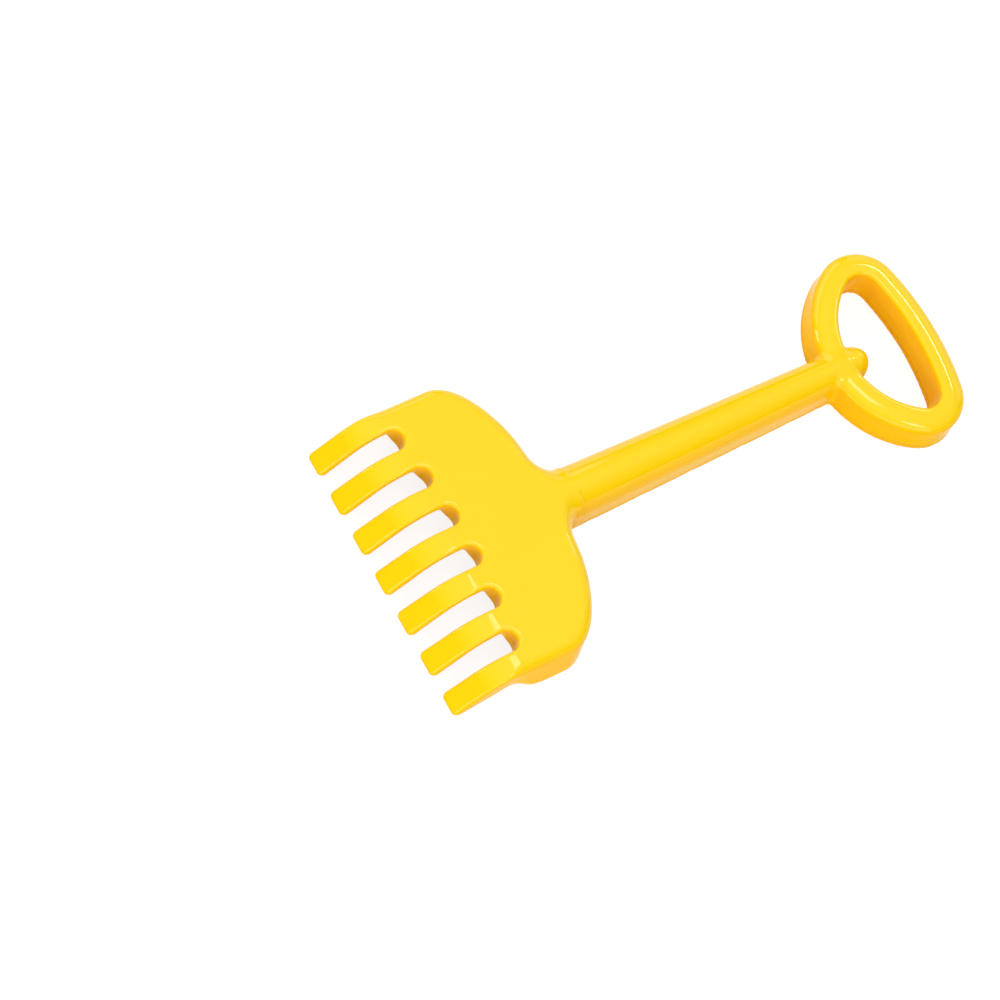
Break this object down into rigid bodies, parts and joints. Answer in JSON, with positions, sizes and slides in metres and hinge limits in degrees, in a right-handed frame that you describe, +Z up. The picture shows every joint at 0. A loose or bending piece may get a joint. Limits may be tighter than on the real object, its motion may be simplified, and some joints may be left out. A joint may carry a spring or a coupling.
{
  "type": "sand rake",
  "caption": "Child's sand rake in glossy plastic: flat head with bent tines and round-ended slots, tapering round-crowned shaft and a D-shaped loop grip.",
  "frame": {"origin": "on the ground, halfway along the rake and in its middle plane", "axes": "+X along the shaft from the tines towards the grip, +Y across the head, +Z up from the ground that the tine tips and the flat back rest on"},
  "size_m": [0.3392, 0.1588, 0.0272],
  "materials": {
    "shell_plastic": "glossy moulded yellow",
    "cover_plastic": "glossy moulded yellow",
    "peg_plastic": "satin moulded yellow"
  },
  "bodies": {
    "root": {"rake_head": "shell_plastic", "shaft_shell": "shell_plastic", "shaft_back_cover": "cover_plastic", "grip_shell": "shell_plastic", "grip_back_cover": "cover_plastic", "neck_pegs": "peg_plastic", "grip_pegs": "peg_plastic"}
  },
  "joints": []
}
